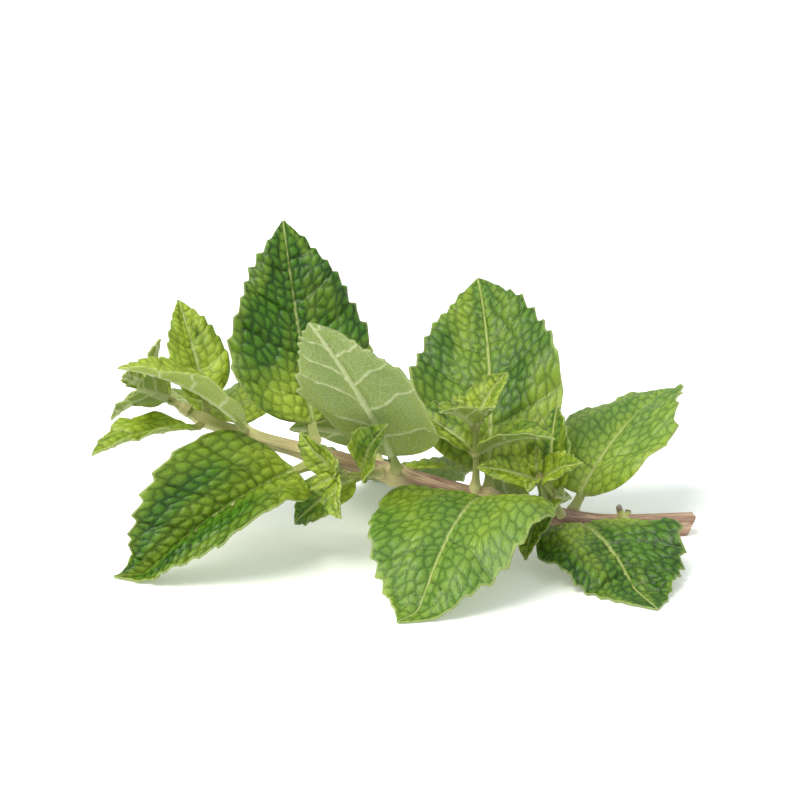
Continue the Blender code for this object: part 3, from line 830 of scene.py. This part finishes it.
STEM_LEAVES = [
    stem_leaf("leaf_1_far", "node_a", 54, 42, 38, 25, sag=44, fold=16, curl=-18, wave=1.6,
              twist=-16, teeth=9, phase=0.5, young=0.1, sage=0.8, puffy=0.5, seed=1),
    stem_leaf("leaf_1_near", "node_a", 287, 11, 38, 25, sag=58, fold=14, curl=-20, wave=1.7,
              twist=10, phase=2.6, young=0.0, sage=0.1, puffy=1.1, seed=2),
    stem_leaf("leaf_2_near", "node_b", 256, 24, 47, 32, sag=94, fold=14, curl=-22, wave=1.8,
              swing=-12, twist=8, phase=1.7, young=0.05, sage=0.75, puffy=0.6, seed=3),
    stem_leaf("leaf_2_far", "node_b", 84, 52, 46, 29, sag=26, fold=10, curl=14, wave=2.0,
              swing=12, twist=-14, phase=2.9, young=0.15, sage=0.3, puffy=0.85, seed=4),
    stem_leaf("leaf_3_near", "node_c", 244, 52, 40, 26, sag=6, fold=14, curl=-26, wave=1.5,
              swing=-8, phase=0.2, young=0.1, sage=0.6, puffy=0.5, seed=5),
    stem_leaf("leaf_3_far", "node_c", 84, -8, 45, 31, sag=36, fold=10, curl=-15, wave=1.7,
              swing=10, phase=4.0, young=0.1, seed=6),
    stem_leaf("leaf_4_near", "node_d", 218, -10, 40, 26, sag=48, fold=42, curl=-14, wave=1.0,
              roll=-26, phase=3.3, young=0.15, seed=7),
    stem_leaf("leaf_4_far", "node_d", 112, 64, 38, 26, sag=-8, fold=10, curl=-24, wave=1.3,
              roll=-6, phase=5.1, young=0.0, seed=8),
    stem_leaf("leaf_5_near", "node_e", 208, 46, 27, 16, sag=36, fold=16, curl=8, wave=0.8,
              petiole=2.2, phase=0.9, teeth=8, scale=0.8, young=1.0, puffy=0.35, seed=9),
    stem_leaf("leaf_5_far", "node_e", 115, 16, 31, 19, sag=56, fold=20, curl=-12, wave=0.8,
              petiole=3, phase=2.2, teeth=8, scale=0.8, young=0.5, puffy=0.7, seed=10),
    stem_leaf("leaf_6_near", "node_f", 216, 6, 21, 12, sag=24, fold=20, curl=-8, wave=0.5,
              petiole=1.8, phase=1.1, teeth=7, scale=0.7, young=0.6, puffy=0.7, seed=11),
    stem_leaf("leaf_6_far", "node_f", 120, 62, 20, 12, sag=10, fold=18, curl=-6, wave=0.5,
              petiole=1.8, phase=4.2, teeth=7, scale=0.7, young=0.75, puffy=0.6, seed=12),
]

# %% Make them


def finish_piece(name, mesh, materials, node=None):
    """Puts a finished mesh in the scene as a piece, which may stand for a CAD node."""
    slots = len(mesh.materials)
    for index, material in enumerate(materials):
        if index < slots:
            mesh.materials[index] = material
        else:
            mesh.materials.append(material)
    mesh.shade_smooth()
    piece = linked(name, mesh)
    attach(piece, "root")
    if node:
        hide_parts(node)
    print(name, "faces:", len(mesh.polygons))


for leaf in STEM_LEAVES:
    mesh = leaf_mesh(leaf)
    finish_piece(f"{leaf.name}_quilted", mesh, [upper_skin, under_skin], leaf.name)

# %% [markdown]
# ## Tubes
#
# The stem, the shoots' stalks and the stubs could be bevelled curves, but a bevel keeps one
# section all the way, and these swell, taper and close to a round end. So they are sheets
# rolled into tubes: the grid's columns go round a centreline and its rows run along it. A
# section is given by how far it reaches at each angle, so one function rolls a square stem
# and a round stalk alike.

# %% Rolling a tube
STEP = 0.01


def rounded_end(at, start):
    """1 up to start and then falling almost to 0 at the tube's end, as an ellipse does."""
    past = max(at - start, 0) / (1 - start)
    return max(math.sqrt(max(1 - past**2, 0)), 0.05)


def tube(name, rows, columns, centre, reach, up, numbers):
    """A grid rolled round the line that centre gives, closed along its seam and at its ends.

    reach(at, angles) gives the radius, and numbers(at, angles) three numbers for "stem".
    """
    mesh, at, s = grid_sheet(name, columns, rows)
    angles = np.pi * s
    places, kept = np.empty((len(at), 3)), np.empty((len(at), 3))
    for here in rows:
        row = at == here
        along = (centre(here + STEP) - centre(here - STEP)).normalized()
        level = along.cross(up).normalized()
        above = level.cross(along)
        radius = reach(here, angles[row])
        places[row] = (
            np.array(centre(here))
            + np.outer(radius * np.cos(angles[row]), level)
            + np.outer(radius * np.sin(angles[row]), above)
        )
        kept[row] = np.stack(np.broadcast_arrays(*numbers(here, angles[row])), axis=-1)
    mesh.vertices.foreach_set("co", places.ravel())
    run = np.cumsum([0] + [(centre(b) - centre(a)).length for a, b in zip(rows, rows[1:])])
    keep(mesh, "stem", *kept.T)
    keep(mesh, "round", np.cos(angles), np.sin(angles), np.interp(at, rows, run) / MM)
    bm = bmesh.new()
    bm.from_mesh(mesh)
    bmesh.ops.remove_doubles(bm, verts=bm.verts, dist=SAME_POINT)
    bmesh.ops.holes_fill(bm, edges=bm.edges)
    bmesh.ops.recalc_face_normals(bm, faces=bm.faces)
    bm.to_mesh(mesh)
    bm.free()
    return mesh


# %% [markdown]
# ## The stem
#
# Mint has a square stem. Its four corners are rounded ribs, its flats are a little hollow
# and finely ridged lengthwise, and each node is swollen, with a low collar where the two
# leaf stalks meet round it. A bevelled box would give the square but not the swellings. One
# formula for the skin's distance from the centreline gives all of it, and the cut is then
# made as with a knife: one plane through the tube, filled and pressed in where the pith is.

# %% The square section
STEM_COLUMNS = 64
STEM_ROW_SPACING = 0.4 * MM
SQUARENESS = 5.5  # 2 is a circle, and the higher, the squarer
FLAT_HOLLOW = 0.09  # this and the next two are shares of the stem's half width
RIDGE_HEIGHT = 0.02
COLLAR_HEIGHT = 0.10
CUT_SLANT = math.radians(24)


def stem_twist(at):
    """The section's turn: none on the flat end, then growing up to node_b."""
    first, last = PLACES.index("flat_end"), PLACES.index("node_b")
    return STEM_TWIST * min(max((at - first) / (last - first), 0), 1)


def section_reach(at, angles):
    """How far the skin is from the centreline."""
    turned_by = angles - stem_twist(at)
    corner = np.abs(np.cos(turned_by)) ** SQUARENESS + np.abs(np.sin(turned_by)) ** SQUARENESS
    hollow = FLAT_HOLLOW * np.cos(2 * turned_by) ** 6 * (1 - 0.7 * node_closeness(at))
    ridges = np.sin(17 * angles + 2.5 * math.sin(2.2 * at)) + np.sin(29 * angles + 4.0 * at)
    collar = COLLAR_HEIGHT * node_closeness(at) ** 12
    shape = corner ** (-1 / SQUARENESS) * (1 - hollow) + 0.5 * RIDGE_HEIGHT * ridges + collar
    return stem_half(at) * shape


def stem_numbers(at, angles):
    """Its share along, how close it is to a corner, and how close to a node."""
    corner = 0.5 - 0.5 * np.cos(4 * (angles - stem_twist(at)))
    return at / LAST, corner, node_closeness(at)


def stem_stations():
    """Places along the course about one row spacing apart."""
    stations = [0.0]
    for leg in range(LAST):
        length = (COURSE[leg + 1] - COURSE[leg]).length
        count = max(2, round(length / STEM_ROW_SPACING))
        stations += [leg + (i + 1) / count for i in range(count)]
    return np.array(stations)


print("rings of points along the stem:", len(stem_stations()))

# %% Roll it and cut its end


def stem_mesh():
    """The whole stem, with a slanting cut that shows the pith."""
    up = Vector((0, 0, 1))
    mesh = tube("stem", stem_stations(), STEM_COLUMNS, stem_point, section_reach, up, stem_numbers)
    mesh.materials.append(None)
    mesh.materials.append(None)
    bm = bmesh.new()
    bm.from_mesh(mesh)
    outward = (COURSE[0] - COURSE[1]).normalized()
    cut = bmesh.ops.bisect_plane(
        bm,
        geom=bm.verts[:] + bm.edges[:] + bm.faces[:],
        plane_co=COURSE[0] - outward * STEM_HALF_BASE,
        plane_no=Matrix.Rotation(CUT_SLANT, 3, "Y") @ outward,
        clear_outer=True,
    )
    edges = [item for item in cut["geom_cut"] if isinstance(item, bmesh.types.BMEdge)]
    filled = bmesh.ops.holes_fill(bm, edges=edges)["faces"]
    bmesh.ops.inset_region(bm, faces=filled, thickness=0.12 * MM, depth=0.10 * MM)
    ring = bmesh.ops.inset_region(bm, faces=filled, thickness=0.45 * MM, depth=-0.05 * MM)["faces"]
    bmesh.ops.inset_region(bm, faces=filled, thickness=0.2 * MM, depth=-0.2 * MM)
    for face in list(filled) + list(ring):
        face.material_index = 1
    bmesh.ops.recalc_face_normals(bm, faces=bm.faces)
    for vert in bm.verts:
        vert.co.z = max(vert.co.z, 0)
    bm.to_mesh(mesh)
    bm.free()
    return mesh


# %% [markdown]
# ## Stem skin
#
# The skin of a mint stem is a thin, smooth bark with a silky sheen. It is tan and pinkish
# brown on the old wood, with darker violet brown ribs, turns olive and then yellow green
# where it is young, and is creamy at the joints. A ramp along the stem gives the ages. Fine
# lighter and darker lines run lengthwise: they are noise drawn out along the stem, read from
# numbers that go round and along with the bark, so that they bend with it. The pith inside
# is soft, pale and quite matt.

# %% Bark and pith
LINES_ROUND = 7.0  # to the stem's half width of 1.9 mm: lines about 0.3 mm wide
LINES_ALONG = 0.22  # to the millimetre: lines about 4.5 mm long
PITH_GRAIN = 1 / (0.4 * MM)  # the cells of the pith, drawn coarser than the real 0.1 mm
BARK_COLOURS = {
    0.0: "#b38a6c",
    0.14: "#ad7f69",
    0.27: "#9c6c5c",
    0.45: "#94714f",
    0.58: "#a18a5c",
    0.72: "#abac66",
    1.0: "#9db04c",
}


def bark(name):
    """The stem's skin, coloured by its share along the stem."""
    material, tree, shader, node = new_material(name)
    along, corner, joint = node("ShaderNodeSeparateXYZ", attribute(tree, "stem")).outputs
    ramp = node("ShaderNodeValToRGB", along)
    for place, colour in list(BARK_COLOURS.items())[1:-1]:
        ramp.color_ramp.elements.new(place).color = linear(colour)
    ramp.color_ramp.elements[0].color = linear(BARK_COLOURS[0.0])
    ramp.color_ramp.elements[-1].color = linear(BARK_COLOURS[1.0])
    where = attribute(tree, "round")
    stretch = (LINES_ROUND, LINES_ROUND, LINES_ALONG)
    drawn = node("ShaderNodeVectorMath", where, stretch, operation="MULTIPLY")
    lines = node("ShaderNodeTexNoise", Vector=drawn, Scale=1.0, Detail=4.0).outputs[0]
    streak = node(RANGE, lines, 0.3, 0.7, **SMOOTH)
    aged = node(RANGE, along, 0.4, 0.75, 0.5, 0.16, **SMOOTH)
    dark = node(MIX, aged, ramp, linear("#4e2f2b"), **COLOUR)
    pale = node(MIX, aged, ramp, linear("#f0dcbc"), **COLOUR)
    colour = node(MIX, streak, dark, pale, **COLOUR)
    woody = node(RANGE, along, 0.35, 0.75, 0.5, 0.1, **SMOOTH)
    woody = node(MATH, corner, woody, operation="MULTIPLY")
    colour = node(MIX, woody, colour, linear("#5c3436"), **COLOUR)
    creamy = node(RANGE, along, 0.2, 0.6, 0.45, 0.85, **SMOOTH)
    creamy = node(MATH, joint, creamy, operation="MULTIPLY")
    colour = node(MIX, creamy, colour, linear("#d3cc90"), **COLOUR)
    tree.links.new(colour.outputs[2], shader.inputs["Base Color"])
    shader.inputs["Roughness"].default_value = 0.45
    shader.inputs["IOR"].default_value = 1.45
    bump = node("ShaderNodeBump", Height=lines, Strength=0.7, Distance=0.2 * MM)
    tree.links.new(bump.outputs[0], shader.inputs["Normal"])
    return material


def pith(name):
    """The soft pale inside of the stem, a little browned where it was cut."""
    material, tree, shader, node = new_material(name)
    where = node("ShaderNodeTexCoord").outputs["Object"]
    grain = node("ShaderNodeTexNoise", Vector=where, Scale=PITH_GRAIN, Detail=3.0).outputs[0]
    colour = node(MIX, grain, linear("#a98f66"), linear("#e0d2a4"), **COLOUR)
    tree.links.new(colour.outputs[2], shader.inputs["Base Color"])
    shader.inputs["Roughness"].default_value = 0.8
    return material


stem_bark = bark("young_stem_bark")
stem_pith = pith("cut_stem_pith")
finish_piece("stem_square_bark", stem_mesh(), [stem_bark, stem_pith], "stem")

# %% [markdown]
# ## Side shoots and the bud
#
# New shoots grow in the angle between a leaf and the stem. Each is a short stalk with two
# small pairs of leaves and a last pair that is still closed, and the bud at the stem's tip is
# three pairs packed closer. Copies of a big leaf made smaller would have veins and teeth too
# fine for their size, so the small leaves go through the same steps with fewer teeth. Stalk
# and leaves are one piece, because they are one growth.

# %% Shoots
STALK_HALF = 0.8 * MM
STALK_TAPER = 0.6
STALK_OUT = 0.26  # the share of its line at which a stalk leaves the stem's skin
AXIL_STEP = 2.6 * MM  # how far above the leaf pair a shoot grows out
LEAF_SINK = 0.5 * MM
PAIR_STAGGER = 0.27 * MM
SMALL_SLIM = 0.58  # a small leaf's width as a share of its length
SMALL_SPREAD = math.radians(54)
SPREAD_CLOSING = 0.22  # how much less each younger pair is spread


def small_leaf(name, foot, direction, side, pair, half_turn, length, seed):
    """A small leaf on a shoot, its upper face towards the shoot's end."""
    outward = Matrix.Rotation(math.pi * half_turn + math.pi / 2 * pair, 3, direction) @ side
    spread = SMALL_SPREAD * (1 - SPREAD_CLOSING * pair)
    midrib = direction * math.cos(spread) + outward * math.sin(spread)
    face = direction * math.sin(spread) - outward * math.cos(spread)
    return Leaf(
        name,
        foot,
        outward,
        Matrix((midrib, face.cross(midrib), face)).transposed(),
        length,
        length * SMALL_SLIM,
        petiole=1.4 * MM,
        sag=math.radians(38),
        fold=math.radians(22),
        wave=0.03 * length,
        phase=1.3 * pair + 2 * half_turn,
        teeth=5,
        scale=0.7,
        young=0.35 + 0.25 * pair,
        puffy=0.5,
        seed=seed + pair * 2 + half_turn,
        sink=0.2 * MM,
    )


def stalk_mesh(name, root, outward, direction, length):
    """A tapered stalk that leaves the stem straight outwards and bends to its own way."""
    start, end = root - outward * JOINT_SINK * 1.5, root + direction * length

    def centre(at):
        return start * (1 - at) ** 2 + root * 2 * at * (1 - at) + end * at**2

    def reach(at, angles):
        flare = 1 + 0.6 * math.exp(-max(at - STALK_OUT, 0) / 0.07)
        taper = 1 + (STALK_TAPER - 1) * at
        return np.full(len(angles), STALK_HALF * taper * flare * rounded_end(at, 0.9))

    def numbers(at, angles):
        return 0.72 + 0.25 * at, 0.0, math.exp(-max(at - STALK_OUT, 0) / 0.1)

    mesh = tube(name, np.linspace(0, 1, 40), 20, centre, reach, direction.orthogonal(), numbers)
    for face in mesh.polygons:
        face.material_index = 2
    return mesh


def shoot(name, root, outward, direction, turn, length, pairs, seed):
    """A stalk with its pairs of small leaves, as one piece."""
    side = Matrix.Rotation(math.radians(turn), 3, direction) @ direction.orthogonal().normalized()
    bm = bmesh.new()
    bm.from_mesh(stalk_mesh(name, root, outward, direction, length))
    for pair, (share, leaf_length) in enumerate(pairs):
        for half_turn in range(2):
            foot = root + direction * (length * share - LEAF_SINK + PAIR_STAGGER * half_turn)
            leaf = small_leaf(name, foot, direction, side, pair, half_turn, leaf_length * MM, seed)
            bm.from_mesh(leaf_mesh(leaf))
    mesh = bpy.data.meshes.new(name)
    bm.to_mesh(mesh)
    bm.free()
    skins = [upper_skin, under_skin, stem_bark]
    finish_piece(f"{name}_leafy", mesh, skins, name)


# %% Five shoots and the bud
# heading, rise and turn in degrees, the stalk in mm, and each pair's place and leaf length
SHOOTS = [
    ("shoot_1_near", "node_a", 236, 44, 20, 12, [(0.5, 16), (0.95, 11)]),
    ("shoot_1_far", "node_a", 132, 6, 50, 10, [(0.5, 14), (0.95, 10)]),
    ("shoot_2_near", "node_b", 238, 84, 100, 12, [(0.5, 17), (0.95, 12)]),
    ("shoot_3_near", "node_c", 222, 12, 90, 10, [(0.5, 15), (0.95, 10)]),
    ("shoot_3_far", "node_c", 104, 25, 50, 12, [(0.5, 15), (0.95, 11)]),
]
CROWN = [(1.0, 5)]  # a last tiny pair, still closed
for seed, (name, node, heading, rise, turn, length, pairs) in enumerate(SHOOTS):
    direction = direction_of(heading, rise)
    root = stem_foot(node, direction) + stem_direction(PLACES.index(node)) * AXIL_STEP
    outward = stem_outward(node, direction)
    shoot(name, root, outward, direction, turn, length * MM, pairs + CROWN, 20 + 6 * seed)
tip_way = stem_direction(LAST)
shoot("tip_bud", COURSE[-1] + tip_way * JOINT_GAP, tip_way, tip_way, 60, 6 * MM,
      [(0.3, 13), (0.7, 9), (0.98, 6)], 60)

# %% [markdown]
# ## Stubs
#
# The lowest pair of leaves was stripped off before the sprig was laid down. Its two stalks
# are left as short stubs with matt skin: pale yellow, and dried to a grey brown at the broken
# end, where they have shrunk. They are rolled like the stalks, because a plain cylinder would
# look like a peg.

# %% Two stubs
STUB_HALF = 0.85 * MM


def stub(name, heading, rise, length):
    """A short stalk with a shrunken, rounded end."""
    direction = direction_of(heading, rise)
    foot = COURSE[PLACES.index("flat_end")]

    def centre(at):
        return foot + direction * length * at + Vector((0, 0, -0.5 * MM)) * at**2

    def reach(at, angles):
        shrunk = 1 - 0.3 * at - 0.12 * math.exp(-(((at - 0.86) / 0.06) ** 2))
        lobes = 1 + 0.07 * np.sin(3 * angles + 5 * at) + 0.03 * np.sin(9 * angles)
        flare = 1 + 0.5 * math.exp(-max(at * length - STEM_HALF_BASE, 0) / (0.6 * MM))
        return STUB_HALF * shrunk * flare * rounded_end(at, 0.93) * lobes

    def numbers(at, angles):
        return at, 0.0, 0.0

    mesh = tube(name, np.linspace(0, 1, 40), 24, centre, reach, direction.orthogonal(), numbers)
    finish_piece(name, mesh, [stub_skin])


stub_skin, tree, shader, node = new_material("drying_stalk_skin")
along = node("ShaderNodeSeparateXYZ", attribute(tree, "stem")).outputs["X"]
dry = node(RANGE, along, 0.72, 0.95, **SMOOTH)
stub_colour = node(MIX, dry, linear("#c3c474"), linear("#7d7164"), **COLOUR)
tree.links.new(stub_colour.outputs[2], shader.inputs["Base Color"])
shader.inputs["Roughness"].default_value = 0.6
stub("stub_near_dried", 250, 50, 7.5 * MM)
stub("stub_far_dried", 76, 34, 4.2 * MM)
